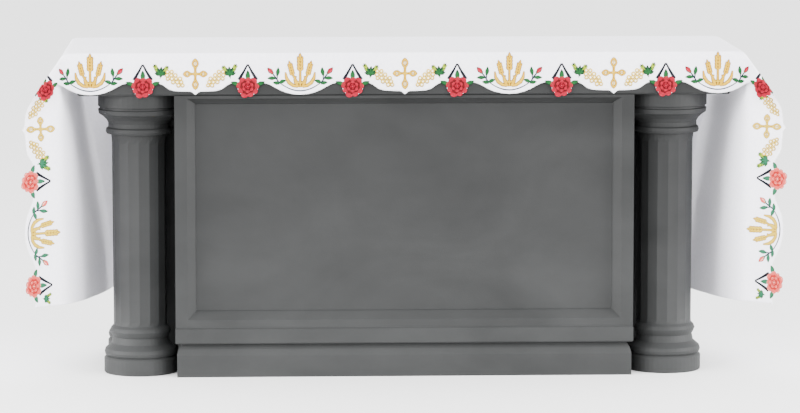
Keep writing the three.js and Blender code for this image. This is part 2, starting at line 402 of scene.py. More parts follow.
class Thread(Enum):
    """Colours of embroidery thread, as linear red, green and blue."""

    CRIMSON = (0.225, 0.0, 0.012)
    DEEP_RED = (0.075, 0.0, 0.001)
    ROSE_PINK = (0.38, 0.012, 0.035)
    CORAL = (0.56, 0.075, 0.065)
    CORAL_DEEP = (0.36, 0.014, 0.012)
    CORAL_PALE = (0.84, 0.36, 0.28)
    GREEN = (0.003, 0.060, 0.012)
    GREEN_DARK = (0.001, 0.016, 0.005)
    GREEN_PALE = (0.014, 0.11, 0.055)
    LIME = (0.20, 0.27, 0.004)
    GOLD = (0.50, 0.29, 0.004)
    GOLD_PALE = (0.56, 0.38, 0.035)
    BROWN = (0.10, 0.035, 0.002)
    TAN = (0.30, 0.17, 0.015)
    NAVY = (0.0012, 0.0018, 0.0055)
    STEM_BLUE = (0.004, 0.008, 0.022)
    WHITE = (0.86, 0.86, 0.88)


class NodeBench:
    """Short calls for laying out one node tree."""

    def __init__(self, tree: bpy.types.NodeTree) -> None:
        """Keeps the tree."""
        self.tree = tree
        self.column = 0

    def add(self, kind: str, **settings: object) -> bpy.types.Node:
        """Adds a node and sets its properties.

        Args:
            kind: The node's type.
            **settings: Properties of the node and their values.

        Returns:
            The node.
        """
        node = self.tree.nodes.new(kind)
        node.location = (self.column * 190.0, -(self.column % 3) * 160.0)
        self.column += 1
        for name, value in settings.items():
            setattr(node, name, value)
        return node

    def join(self, source: bpy.types.NodeSocket, target: bpy.types.NodeSocket) -> None:
        """Links two sockets."""
        self.tree.links.new(source, target)

    def math(self, operation: str, a: object, b: object = None) -> bpy.types.NodeSocket:
        """Adds a Math node.

        Args:
            operation: The node's operation.
            a: A socket or a number.
            b: A socket or a number, or nothing.

        Returns:
            The node's output.
        """
        node = self.add("ShaderNodeMath", operation=operation)
        for slot, value in enumerate((a, b)):
            if isinstance(value, bpy.types.NodeSocket):
                self.join(value, node.inputs[slot])
            elif value is not None:
                node.inputs[slot].default_value = value
        return node.outputs[0]


class SharedEffects:
    """Shader groups that several finishes use, each built once."""

    def __init__(self) -> None:
        """Starts with no group built."""
        self._made: dict[str, bpy.types.NodeTree] = {}

    def _begin(
        self, name: str, inputs: Sequence[tuple[str, str, object]], outputs: Sequence[tuple[str, str]]
    ) -> tuple[bpy.types.NodeTree, NodeBench, bpy.types.Node, bpy.types.Node]:
        """Makes an empty group with its sockets.

        Args:
            name: The group's name.
            inputs: Name, socket type and default of each input.
            outputs: Name and socket type of each output.

        Returns:
            The tree, its bench, the input node and the output node.
        """
        tree = bpy.data.node_groups.new(name, "ShaderNodeTree")
        for label, kind, default in inputs:
            socket = tree.interface.new_socket(label, in_out="INPUT", socket_type=kind)
            if default is not None:
                socket.default_value = default
        for label, kind in outputs:
            tree.interface.new_socket(label, in_out="OUTPUT", socket_type=kind)
        bench = NodeBench(tree)
        return tree, bench, bench.add("NodeGroupInput"), bench.add("NodeGroupOutput")

    def mottle(self) -> bpy.types.NodeTree:
        """Gives the group of soft blotches and fine grain for stone and cloth.

        Returns:
            The shared group.
        """
        if "mottle" not in self._made:
            tree, bench, entry, leave = self._begin(
                "mottle",
                [
                    ("Vector", "NodeSocketVector", None),
                    ("Broad Scale", "NodeSocketFloat", 3.0),
                    ("Grain Scale", "NodeSocketFloat", 220.0),
                    ("Grain Share", "NodeSocketFloat", 0.4),
                ],
                [("Value", "NodeSocketFloat"), ("Grain", "NodeSocketFloat")],
            )
            broad = bench.add("ShaderNodeTexNoise")
            broad.inputs["Detail"].default_value = 5.0
            broad.inputs["Roughness"].default_value = 0.6
            fine = bench.add("ShaderNodeTexNoise")
            fine.inputs["Detail"].default_value = 3.0
            for node, scale in ((broad, "Broad Scale"), (fine, "Grain Scale")):
                bench.join(entry.outputs["Vector"], node.inputs["Vector"])
                bench.join(entry.outputs[scale], node.inputs["Scale"])
            mix = bench.add("ShaderNodeMix")
            bench.join(entry.outputs["Grain Share"], mix.inputs[0])
            bench.join(broad.outputs[0], mix.inputs[2])
            bench.join(fine.outputs[0], mix.inputs[3])
            bench.join(mix.outputs[0], leave.inputs["Value"])
            bench.join(fine.outputs[0], leave.inputs["Grain"])
            self._made["mottle"] = tree
        return self._made["mottle"]

    def stitches(self) -> bpy.types.NodeTree:
        """Gives the group of threads lying side by side along a piece's own UV.

        Returns:
            The shared group.
        """
        if "stitches" not in self._made:
            tree, bench, entry, leave = self._begin(
                "laid stitches",
                [
                    ("UV", "NodeSocketVector", None),
                    ("Pitch", "NodeSocketFloat", 0.0008),
                    ("Lean", "NodeSocketFloat", 0.35),
                ],
                [("Height", "NodeSocketFloat"), ("Shade", "NodeSocketFloat")],
            )
            parts = bench.add("ShaderNodeSeparateXYZ")
            bench.join(entry.outputs["UV"], parts.inputs[0])
            leaned = bench.math("MULTIPLY", parts.outputs[1], entry.outputs["Lean"])
            run = bench.math("ADD", parts.outputs[0], leaned)
            turns = bench.math("DIVIDE", run, entry.outputs["Pitch"])
            wave = bench.math("SINE", bench.math("MULTIPLY", turns, math.pi))
            ridge = bench.math("ABSOLUTE", wave)
            noise = bench.add("ShaderNodeTexNoise")
            noise.inputs["Scale"].default_value = 260.0
            bench.join(entry.outputs["UV"], noise.inputs["Vector"])
            bench.join(ridge, leave.inputs["Height"])
            # Painted shade and highlight: Shade is lower in the grooves between stitches and higher on their
            # ridges, mixed with a random thread tone.
            shade = bench.math("ADD", bench.math("MULTIPLY", ridge, 0.45), noise.outputs[0])
            bench.join(bench.math("MULTIPLY", shade, 0.75), leave.inputs["Shade"])
            self._made["stitches"] = tree
        return self._made["stitches"]

    def weave(self) -> bpy.types.NodeTree:
        """Gives the group of a plain weave in flat cloth metres.

        Returns:
            The shared group.
        """
        if "weave" not in self._made:
            tree, bench, entry, leave = self._begin(
                "plain weave",
                [("UV", "NodeSocketVector", None), ("Pitch", "NodeSocketFloat", 0.0006)],
                [("Height", "NodeSocketFloat"), ("Shade", "NodeSocketFloat")],
            )
            parts = bench.add("ShaderNodeSeparateXYZ")
            bench.join(entry.outputs["UV"], parts.inputs[0])
            waves = []
            for axis in (0, 1):
                turns = bench.math("DIVIDE", parts.outputs[axis], entry.outputs["Pitch"])
                waves.append(bench.math("SINE", bench.math("MULTIPLY", turns, math.pi)))
            height = bench.math("MULTIPLY", waves[0], waves[1])
            bench.join(height, leave.inputs["Height"])
            slub = bench.add("ShaderNodeTexNoise")
            slub.inputs["Scale"].default_value = 90.0
            slub.inputs["Detail"].default_value = 4.0
            bench.join(entry.outputs["UV"], slub.inputs["Vector"])
            bench.join(slub.outputs[0], leave.inputs["Shade"])
            self._made["weave"] = tree
        return self._made["weave"]


@dataclass
class Finish:
    """Common part of a finish: a material with one Principled shader."""

    effects: SharedEffects

    def _material(self, name: str) -> tuple[bpy.types.Material, NodeBench, bpy.types.Node]:
        """Makes a material with an empty bench.

        Args:
            name: The material's name.

        Returns:
            The material, its bench and its shader.
        """
        material = bpy.data.materials.new(name)
        material.use_nodes = True
        material.node_tree.nodes.clear()
        bench = NodeBench(material.node_tree)
        shader = bench.add("ShaderNodeBsdfPrincipled")
        output = bench.add("ShaderNodeOutputMaterial")
        bench.join(shader.outputs[0], output.inputs[0])
        return material, bench, shader

    def _two_tones(
        self,
        bench: NodeBench,
        factor: bpy.types.NodeSocket,
        low: Sequence[float],
        high: Sequence[float],
        spread: Point,
    ) -> bpy.types.NodeSocket:
        """Adds a ramp between two colours.

        Args:
            bench: The material's bench.
            factor: The value that drives the ramp.
            low: Colour below the spread.
            high: Colour above it.
            spread: Where the ramp starts and ends.

        Returns:
            The ramp's colour.
        """
        ramp = bench.add("ShaderNodeValToRGB")
        ramp.color_ramp.elements[0].position = spread[0]
        ramp.color_ramp.elements[1].position = spread[1]
        ramp.color_ramp.elements[0].color = (*low, 1.0)
        ramp.color_ramp.elements[1].color = (*high, 1.0)
        bench.join(factor, ramp.inputs[0])
        return ramp.outputs[0]

    def _relief(
        self,
        bench: NodeBench,
        shader: bpy.types.Node,
        height: bpy.types.NodeSocket,
        depth: float,
        strength: float,
    ) -> None:
        """Feeds a height to the shader's normal through a Bump node.

        Args:
            bench: The material's bench.
            shader: The shader to feed.
            height: The height that varies.
            depth: Depth of the relief, in metres.
            strength: Share of the relief that shows.
        """
        bump = bench.add("ShaderNodeBump")
        bump.inputs["Distance"].default_value = depth
        bump.inputs["Strength"].default_value = strength
        bench.join(height, bump.inputs["Height"])
        bench.join(bump.outputs[0], shader.inputs["Normal"])

    def _group(self, bench: NodeBench, tree: bpy.types.NodeTree, **values: float) -> bpy.types.Node:
        """Places a shared group and sets its inputs by name.

        Args:
            bench: The material's bench.
            tree: The group to place.
            **values: The group's inputs, with underscores for blanks.

        Returns:
            The placed node.
        """
        node = bench.add("ShaderNodeGroup", node_tree=tree)
        for name, value in values.items():
            node.inputs[name.replace("_", " ")].default_value = value
        return node


@dataclass
class ClothFinish(Finish):
    """White plain-weave cloth, cool white with faint slubs."""

    low: tuple[float, float, float] = (0.82, 0.81, 0.90)
    high: tuple[float, float, float] = (0.91, 0.90, 0.985)
    glow: float = 0.4

    def build(self) -> bpy.types.Material:
        """Builds the cloth's material.

        Returns:
            The material.
        """
        material, bench, shader = self._material("white woven cloth")
        uv = bench.add("ShaderNodeUVMap", uv_map="flat")
        weave = self._group(bench, self.effects.weave(), Pitch=0.0006)
        bench.join(uv.outputs[0], weave.inputs["UV"])
        mottle = self._group(
            bench, self.effects.mottle(), Broad_Scale=2.2, Grain_Scale=60.0, Grain_Share=0.25
        )
        bench.join(uv.outputs[0], mottle.inputs["Vector"])
        value = bench.math("ADD", mottle.outputs["Value"], weave.outputs["Shade"])
        tone = self._two_tones(bench, bench.math("MULTIPLY", value, 0.5), self.low, self.high, (0.35, 0.65))
        bench.join(tone, shader.inputs["Base Color"])
        shader.inputs["Roughness"].default_value = 0.85
        shader.inputs["Specular IOR Level"].default_value = 0.25
        shader.inputs["Sheen Weight"].default_value = 0.15
        shader.inputs["Subsurface Weight"].default_value = self.glow
        shader.inputs["Subsurface Radius"].default_value = (1.0, 1.0, 1.0)
        shader.inputs["Subsurface Scale"].default_value = 0.003
        self._relief(bench, shader, weave.outputs["Height"], 0.00012, 0.35)
        return material


@dataclass
class ThreadFinish(Finish):
    """Satin stitches of one thread colour."""

    def build(self, thread: Thread, pitch: float = 0.0009) -> bpy.types.Material:
        """Builds the material of one thread.

        Args:
            thread: The thread's colour.
            pitch: Distance between two stitches, in metres.

        Returns:
            The material.
        """
        material, bench, shader = self._material(thread.name.lower().replace("_", " ") + " thread")
        uv = bench.add("ShaderNodeUVMap", uv_map="stitch")
        laid = self._group(bench, self.effects.stitches(), Pitch=pitch, Lean=0.35)
        bench.join(uv.outputs[0], laid.inputs["UV"])
        # Painted shade and highlight: the thread runs from a darker copy of its colour in the grooves to a
        # lighter copy on the ridges, with a random tone.
        low = tuple(c * 0.62 for c in thread.value)
        high = tuple(min(1.0, c * 1.15) for c in thread.value)
        tone = self._two_tones(bench, laid.outputs["Shade"], low, high, (0.3, 0.75))
        bench.join(tone, shader.inputs["Base Color"])
        shader.inputs["Roughness"].default_value = 0.6
        shader.inputs["Specular IOR Level"].default_value = 0.12
        self._relief(bench, shader, laid.outputs["Height"], 0.0004, 0.6)
        return material


@dataclass
class StoneFinish(Finish):
    """Honed grey stone with soft cloudy bands, with painted shade that darkens it towards the top, under the
    slab, and painted light that makes it paler towards the floor.
    """

    low: tuple[float, float, float] = (0.0150, 0.0156, 0.0157)
    high: tuple[float, float, float] = (0.0235, 0.0243, 0.0244)
    # Painted light and shade: colour scale at the floor (paler) and at the top (darker, as in the slab's
    # shadow).
    painted_light_at_foot: float = 1.35
    painted_shade_at_top: float = 0.66

    def build(self, name: str, shift: float) -> bpy.types.Material:
        """Builds the stone of one block.

        Args:
            name: The material's name.
            shift: Offset of the clouds, so that no two blocks match.

        Returns:
            The material.
        """
        material, bench, shader = self._material(name)
        where = bench.add("ShaderNodeTexCoord")
        place = bench.add("ShaderNodeMapping")
        place.inputs["Location"].default_value = (shift, shift * 1.7, shift * 0.6)
        place.inputs["Scale"].default_value = (1.0, 1.0, 1.6)
        bench.join(where.outputs["Object"], place.inputs["Vector"])
        mottle = self._group(
            bench, self.effects.mottle(), Broad_Scale=3.4, Grain_Scale=240.0, Grain_Share=0.22
        )
        bench.join(place.outputs[0], mottle.inputs["Vector"])
        veins = bench.add("ShaderNodeTexNoise")
        veins.inputs["Scale"].default_value = 1.7
        veins.inputs["Detail"].default_value = 8.0
        veins.inputs["Distortion"].default_value = 1.4
        bench.join(place.outputs[0], veins.inputs["Vector"])
        value = bench.math("ADD", mottle.outputs["Value"], veins.outputs[0])
        tone = self._two_tones(bench, bench.math("MULTIPLY", value, 0.5), self.low, self.high, (0.36, 0.64))
        # Painted shade: the stone's colour is multiplied darker towards the top, where the slab shades it,
        # and paler towards the floor.
        height = bench.add("ShaderNodeSeparateXYZ")
        bench.join(where.outputs["Object"], height.inputs[0])
        painted_shade_ramp = bench.add("ShaderNodeMapRange")
        painted_shade_ramp.inputs["From Max"].default_value = 0.95
        painted_shade_ramp.inputs["To Min"].default_value = self.painted_light_at_foot
        painted_shade_ramp.inputs["To Max"].default_value = self.painted_shade_at_top
        bench.join(height.outputs[2], painted_shade_ramp.inputs["Value"])
        shade = bench.add("ShaderNodeMix", data_type="RGBA", blend_type="MULTIPLY")
        shade.inputs[0].default_value = 1.0
        bench.join(tone, shade.inputs[6])
        bench.join(painted_shade_ramp.outputs[0], shade.inputs[7])
        bench.join(shade.outputs[2], shader.inputs["Base Color"])
        gloss = bench.math("MULTIPLY_ADD", mottle.outputs["Grain"], 0.18)
        gloss.node.inputs[2].default_value = 0.5
        bench.join(gloss, shader.inputs["Roughness"])
        shader.inputs["Specular IOR Level"].default_value = 0.15
        self._relief(bench, shader, mottle.outputs["Grain"], 0.0008, 0.25)
        return material


# Embroidery


@dataclass
class Ribbon:
    """One band of satin stitch in flat millimetres: x along the cloth, y up from the table's edge."""

    spine: list[Point]
    half_widths: list[float]
    thread: Thread
    height: float = 0.7
    closed: bool = False


@dataclass
class Artwork:
    """A list of bands that makes one motif, with ways to draw them."""

    ribbons: list[Ribbon] = field(default_factory=list)

    def band(
        self,
        spine: Sequence[Point],
        widths: Sequence[float],
        thread: Thread,
        height: float = 0.7,
        closed: bool = False,
    ) -> None:
        """Adds one band.

        Args:
            spine: Points down its middle.
            widths: Half widths, spread evenly along the spine.
            thread: Its colour.
            height: How far it stands above the cloth.
            closed: Whether its end joins its start.
        """
        at = np.linspace(0, 1, len(spine))
        halves = np.interp(at, np.linspace(0, 1, len(widths)), widths)
        self.ribbons.append(Ribbon(list(spine), [float(w) for w in halves], thread, height, closed))

    def blade(
        self,
        start: Point,
        angle: float,
        length: float,
        half: float,
        thread: Thread,
        bend: float = 0.0,
        height: float = 0.7,
    ) -> None:
        """Adds a pointed leaf or petal shape.

        Args:
            start: Its foot.
            angle: Its heading in degrees.
            length: Its length.
            half: Its half width at the widest.
            thread: Its colour.
            bend: How far its heading turns on the way, in degrees.
            height: How far it stands above the cloth.
        """
        steps = 7
        spine = [start]
        for i in range(steps):
            heading = math.radians(angle + bend * (i + 0.5) / steps)
            x, y = spine[-1]
            spine.append((x + length / steps * math.cos(heading), y + length / steps * math.sin(heading)))
        shares = (0.12, 0.7, 1.0, 0.93, 0.62, 0.1)
        self.band(spine, [share * half for share in shares], thread, height)

    def arc(
        self,
        centre: Point,
        radius: float,
        start: float,
        end: float,
        widths: Sequence[float],
        thread: Thread,
        height: float = 0.7,
        steps: int = 8,
    ) -> None:
        """Adds a band along part of a circle.

        Args:
            centre: The circle's centre.
            radius: Its radius.
            start: Where the band starts, in degrees.
            end: Where it ends, in degrees.
            widths: Half widths, spread evenly along the band.
            thread: Its colour.
            height: How far it stands above the cloth.
            steps: Number of straight lengths.
        """
        angles = np.radians(np.linspace(start, end, steps + 1))
        spine = [(centre[0] + radius * math.cos(t), centre[1] + radius * math.sin(t)) for t in angles]
        self.band(spine, widths, thread, height)

    def ring(
        self,
        centre: Point,
        radius: float,
        half: float,
        thread: Thread,
        height: float = 0.7,
        steps: int = 10,
    ) -> None:
        """Adds a closed round band.

        Args:
            centre: The ring's centre.
            radius: Its radius.
            half: Half width of the band.
            thread: Its colour.
            height: How far it stands above the cloth.
            steps: Number of straight lengths.
        """
        angles = np.arange(steps) * 2 * math.pi / steps
        spine = [(centre[0] + radius * math.cos(t), centre[1] + radius * math.sin(t)) for t in angles]
        self.band(spine, [half], thread, height, closed=True)

    def outline(self, points: Sequence[Point], half: float, thread: Thread, height: float = 0.7) -> None:
        """Adds a closed thin band through points."""
        self.band(points, [half], thread, height, closed=True)

    def disc(self, centre: Point, half_wide: float, half_high: float, thread: Thread, height: float) -> None:
        """Adds a filled oval.

        Args:
            centre: The oval's centre.
            half_wide: Half of its width.
            half_high: Half of its height.
            thread: Its colour.
            height: How far it stands above the cloth.
        """
        angles = np.linspace(math.pi, 0, 9)
        spine = [(centre[0] + half_wide * math.cos(t), centre[1]) for t in angles]
        halves = [max(0.4, half_high * math.sin(t)) for t in angles]
        self.ribbons.append(Ribbon(spine, halves, thread, height))

    def scaled(self, share: float) -> "Artwork":
        """Gives the same motif at a share of its size.

        Args:
            share: New size as a share of the old.

        Returns:
            A new motif.
        """
        made = Artwork()
        for r in self.ribbons:
            spine = [(x * share, y * share) for x, y in r.spine]
            halves = [w * share for w in r.half_widths]
            made.ribbons.append(Ribbon(spine, halves, r.thread, r.height, r.closed))
        return made

    def mirrored(self) -> "Artwork":
        """Gives the same motif with left and right changed over.

        Returns:
            A new motif.
        """
        made = Artwork()
        for r in self.ribbons:
            spine = [(-x, y) for x, y in r.spine]
            made.ribbons.append(Ribbon(spine, r.half_widths, r.thread, r.height, r.closed))
        return made

    def moved(self, x: float, y: float) -> "Artwork":
        """Gives the same motif moved by x and y.

        Args:
            x: Distance along the cloth.
            y: Distance up.

        Returns:
            A new motif.
        """
        made = Artwork()
        for r in self.ribbons:
            spine = [(px + x, py + y) for px, py in r.spine]
            made.ribbons.append(Ribbon(spine, r.half_widths, r.thread, r.height, r.closed))
        return made

    def add(self, other: "Artwork") -> None:
        """Takes in another motif's bands."""
        self.ribbons.extend(other.ribbons)


@dataclass(frozen=True)
class Palette:
    """Threads that one side of the border is worked in."""

    petal: Thread
    petal_dark: Thread
    petal_light: Thread
    leaf: Thread
    leaf_dark: Thread
    leaf_tip: Thread
    gold: Thread
    gold_light: Thread
    gold_edge: Thread
    stem: Thread
    frame: Thread = Thread.NAVY


FACE = Palette(
    Thread.CRIMSON, Thread.DEEP_RED, Thread.ROSE_PINK, Thread.GREEN, Thread.GREEN_DARK, Thread.LIME,
    Thread.GOLD, Thread.GOLD_PALE, Thread.BROWN, Thread.STEM_BLUE,
)
REVERSE = Palette(
    Thread.CORAL, Thread.CORAL_DEEP, Thread.CORAL_PALE, Thread.GREEN_PALE, Thread.GREEN, Thread.LIME,
    Thread.GOLD_PALE, Thread.GOLD_PALE, Thread.TAN, Thread.STEM_BLUE,
)


class Motifs:
    """Draws each motif of the border about its own middle, in one palette."""

    def __init__(self, palette: Palette) -> None:
        """Keeps the palette."""
        self.palette = palette

    def rose(self) -> Artwork:
        """Draws a full-blown rose with ragged outer petals.

        Returns:
            The rose.
        """
        p, art = self.palette, Artwork()
        art.disc((0, 0), 30, 25, p.petal_dark, 0.4)
        for i in range(9):
            angle = 40 * i + 8
            reach = 25 + 2.5 * math.sin(2.3 * i)
            away = math.radians(angle)
            middle = (0.42 * reach * math.cos(away), 0.32 * reach * math.sin(away))
            art.arc(middle, 0.70 * reach, angle - 36, angle + 36, [1.2, 6.2, 7.6, 6.0, 1.2], p.petal, 0.9, 6)
            inner, outer = 0.70 * reach - 7.2, 0.70 * reach + 4.8
            art.arc(middle, inner, angle - 38, angle + 30, [0.4, 1.3, 0.5], p.petal_dark, 1.2, 5)
            art.arc(middle, outer, angle - 20, angle + 12, [0.3, 1.1, 0.3], p.petal_light, 1.25, 4)
        for i in range(6):
            angle = 60 * i + 30
            art.arc((0, 0), 13.5, angle - 31, angle + 27, [1.0, 4.8, 5.4, 1.0], p.petal, 1.6, 5)
            art.arc((0, 0), 8.8, angle - 30, angle + 22, [0.4, 1.2, 0.4], p.petal_dark, 1.8, 4)
            art.arc((0, 0), 16.6, angle - 18, angle + 10, [0.3, 0.9, 0.3], p.petal_light, 1.8, 3)
        for i in range(4):
            angle = 90 * i + 12
            art.arc((0, 1), 5.6, angle - 48, angle + 40, [0.8, 3.0, 0.8], p.petal, 2.1, 5)
            art.arc((0, 1), 8.6, angle - 40, angle + 20, [0.3, 0.8, 0.3], p.petal_dark, 2.2, 4)
        art.disc((0, 1), 2.6, 2.4, p.petal_light, 2.4)
        return art

    def leaf(self, length: float, half: float, angle: float, bend: float = 12.0) -> Artwork:
        """Draws a small pointed leaf with a pale vein.

        Args:
            length: The leaf's length.
            half: Its half width.
            angle: Its heading in degrees.
            bend: How far it curves.

        Returns:
            The leaf, with its foot at the middle.
        """
        p, art = self.palette, Artwork()
        art.blade((0, 0), angle, length, half, p.leaf_dark, bend, 0.6)
        turned = math.radians(angle + 90)
        for side in (-1, 1):
            foot = (side * 0.3 * half * math.cos(turned), side * 0.3 * half * math.sin(turned))
            art.blade(foot, angle, length * 0.92, half * 0.52, p.leaf, bend, 0.9)
        return art

    def vine_leaf(self) -> Artwork:
        """Draws a lobed vine leaf, spread upwards, with yellow-green tips.

        Returns:
            The leaf, with its stalk pointing down.
        """
        p, art = self.palette, Artwork()
        lobes = ((128, 37, 7.2), (56, 39, 7.4), (94, 26, 6.0), (160, 21, 5.6), (18, 19, 5.4), (228, 9, 5.0))
        for angle, length, half in lobes:
            foot = (0, -9) if angle < 200 else (2, -8)
            art.blade(foot, angle, length, half, p.leaf_dark, 6, 0.7)
            art.blade(foot, angle, length * 0.78, half * 0.58, p.leaf, 4, 1.0)
        for angle, length in ((128, 37), (56, 39)):
            turn = math.radians(angle + 4)
            for side in (-1, 1):
                foot = (0.52 * length * math.cos(turn), -9 + 0.52 * length * math.sin(turn))
                art.blade(foot, angle + side * 24, length * 0.44, 3.4, p.leaf_tip, -side * 14, 1.2)
        art.blade((-9, 3), 150, 11, 2.6, p.leaf_tip, 10, 1.2)
        art.blade((9, 3), 30, 11, 2.6, p.leaf_tip, -10, 1.2)
        art.band([(0, -9), (-1, -15), (2, -20)], [2.0, 1.5, 0.8], p.leaf_dark, 0.7)
        return art

    def grapes(self) -> Artwork:
        """Draws a bunch of grapes as gold rings, with its tip down to the left.

        Returns:
            The bunch.
        """
        p, art = self.palette, Artwork()
        rows = ((0, 21.0, 2, 15), (1, 10.4, 3, 10), (2, 0.0, 4, 2), (3, -10.6, 3, -8), (4, -20.5, 2, -18))
        for row, y, count, middle in rows:
            for i in range(count):
                x = middle + (i - (count - 1) / 2) * 12.4
                size = 4.5 + 0.3 * math.sin(3.1 * i + row)
                art.disc((x, y), size, size, Thread.WHITE, 0.4)
                art.ring((x, y), size, 2.3, p.gold_light, 0.9)
                art.arc((x, y), size + 1.7, 190, 360, [0.4, 1.1, 0.4], p.gold_edge, 0.9, 6)
        return art

    def _bud_arm(self, art: Artwork, angle: float, length: float, half: float) -> None:
        """Adds one arm of the cross: a slim stalk that opens into a bud with a pale middle.

        Args:
            art: The cross that takes the arm.
            angle: The arm's heading in degrees.
            length: Its length.
            half: Half width of its bud.
        """
        p = self.palette
        turn = math.radians(angle)

        def at(out: float, aside: float) -> Point:
            """Turns a point of the arm to its heading.

            Args:
                out: Distance along the arm.
                aside: Distance to its left.

            Returns:
                The turned point.
            """
            return (
                out * math.cos(turn) - aside * math.sin(turn),
                out * math.sin(turn) + aside * math.cos(turn),
            )

        bud = length * 0.42
        profile = ((0.0, 0.0), (0.2, 0.62), (0.45, 1.0), (0.7, 0.8), (0.88, 0.42), (1.0, 0.0))
        left = [at(bud + (length - bud) * t, half * w) for t, w in profile]
        right = [at(bud + (length - bud) * t, -half * w) for t, w in reversed(profile[1:-1])]
        art.outline(left + right, 3.6, p.gold_edge, 0.6)
        art.outline(left + right, 2.6, p.gold, 1.2)
        middle = [at(bud + (length - bud) * t, 0) for t in (0.2, 0.4, 0.6, 0.86)]
        art.band(middle, [0.4, 2.0, 1.9, 0.3], p.gold_light, 1.2)
        tip = [at(length - 9, 0), at(length - 4, 0), at(length + 1.5, 0)]
        art.band(tip, [0.8, 3.4, 0.6], p.gold, 1.7)
        for side in (-1, 1):
            stalk = [at(2, side * 2.2), at(bud * 0.6, side * 1.6), at(bud + 3, side * 3.0)]
            art.band(stalk, [2.7, 2.2, 2.5], p.gold_edge, 0.6)
            art.band(stalk, [1.9, 1.5, 1.8], p.gold, 1.2)

    def cross(self) -> Artwork:
        """Draws a budded cross with a longer foot.

        Returns:
            The cross.
        """
        p, art = self.palette, Artwork()
        for angle, length, half in ((90, 45, 8.0), (0, 35, 7.4), (180, 35, 7.4), (270, 46, 7.6)):
            self._bud_arm(art, angle, length, half)
        art.ring((0, 0), 4.6, 1.9, p.gold, 1.5)
        art.disc((0, 0), 2.6, 2.6, p.gold_light, 1.2)
        return art

    def _gold_band(self, art: Artwork, spine: Sequence[Point], widths: Sequence[float]) -> None:
        """Adds a broad gold band with a dark edge.

        Args:
            art: The motif that takes the band.
            spine: Points down its middle.
            widths: Half widths, spread evenly along it.
        """
        p = self.palette
        art.band(spine, [w + 1.3 for w in widths], p.gold_edge, 0.7)
        art.band(spine, widths, p.gold, 1.5)

    def wheat_spray(self) -> Artwork:
        """Draws the upright gold ornament: a sheaf of three ears of wheat between broad leaves.

        Returns:
            The ornament.
        """
        p, art = self.palette, Artwork()
        for x, y, lean, size in ((0, 14, 0, 1.2), (-23, 1, 14, 1.0), (23, 1, -14, 1.0)):
            self._gold_band(art, [(0.24 * x, -38), (0.5 * x, -20), (x, y)], [3.2, 3.0, 2.6])
            slope = math.radians(90 + lean)
            for i in range(4):
                step = 8.4 * size * i
                foot = (x + step * math.cos(slope), y - 3 + step * math.sin(slope))
                for side in (-1, 1):
                    heading = 90 + lean - side * 42
                    art.blade(foot, heading, 15 * size, 4.6 * size, p.gold_edge, side * 30, 0.6)
                    art.blade(foot, heading, 13.6 * size, 3.5 * size, p.gold, side * 30, 1.3)
            top = (x + 31 * size * math.cos(slope), y - 3 + 31 * size * math.sin(slope))
            art.blade(top, 90 + lean, 16 * size, 4.4 * size, p.gold_edge, 0, 0.7)
            art.blade(top, 90 + lean, 14 * size, 3.3 * size, p.gold, 0, 1.5)
        for side in (-1, 1):
            outer = [(side * 7, -36), (side * 21, -33), (side * 34, -24), (side * 42, -10), (side * 45, 8)]
            self._gold_band(art, outer, [3.0, 4.4, 5.0, 4.0, 1.2])
            light = [(side * 20, -32.5), (side * 33, -23.5), (side * 41, -9)]
            art.band(light, [0.5, 1.1, 0.5], p.gold_light, 1.9)
            inner = [(side * 6, -34), (side * 14, -27), (side * 17, -14), (side * 12, -4)]
            self._gold_band(art, inner, [2.0, 3.2, 3.0, 1.0])
        self._gold_band(art, [(-12, -22), (0, -25), (12, -22)], [2.6, 3.6, 2.6])
        art.band([(-8, -23.4), (0, -25), (8, -23.4)], [0.5, 1.1, 0.5], p.gold_light, 2.1)
        return art

    def bud_sprig(self) -> Artwork:
        """Draws a rose bud on a forked stem with leaves, leaning to the right.

        Returns:
            The sprig.
        """
        p, art = self.palette, Artwork()
        art.band([(-12, -25), (-5, -14), (1, -5), (11, 8)], [2.1, 2.3, 2.3, 2.0], p.stem, 0.8)
        art.band([(-4, -12), (-5, -4), (-4, 4)], [2.0, 1.8, 1.2], p.stem, 0.8)
        art.add(self.leaf(27, 6.4, 106, -14).moved(-4, -2))
        art.add(self.leaf(25, 6.2, 6, -12).moved(0, -9))
        art.add(self.leaf(23, 6.2, 152, 14).moved(-10, -23))
        art.add(self.leaf(21, 6.0, 22, -20).moved(-12, -26))
        art.blade((8, 5), 46, 25, 7.6, p.petal_dark, 4, 0.9)
        art.blade((8, 6), 56, 22, 4.6, p.petal, -10, 1.4)
        art.blade((9, 5), 38, 20, 3.2, p.petal_light, 8, 1.3)
        art.blade((7, 4), 82, 11, 2.4, p.leaf, -24, 1.3)
        art.blade((7, 4), 10, 11, 2.4, p.leaf, 24, 1.3)
        return art

    def rose_frame(self) -> Artwork:
        """Draws the dark pointed frame above a rose, with a leaf inside it.

        Returns:
            The frame and its leaf.
        """
        p, art = self.palette, Artwork()
        for side in (-1, 1):
            leg = [(side * 0.6, 46), (side * 11, 26), (side * 27, -1)]
            art.band(leg, [2.4, 3.6, 5.2], p.frame, 0.9)
        art.add(self.leaf(32, 7.6, 88, 4).moved(0, -4))
        return art

    def under_arc(self) -> Artwork:
        """Draws the thin stem that joins two sprigs under the wheat.

        Returns:
            The stem.
        """
        p, art = self.palette, Artwork()
        spine = [(x, -49 + 24 * (x / 62) ** 2) for x in np.linspace(-62, 62, 15)]
        art.band(spine, [1.4, 2.0, 2.0, 1.4], p.stem, 0.7)
        return art


@dataclass
class Placement:
    """A motif drawn at one place of the border."""

    group: str
    art: Artwork
    s: float
    b: float


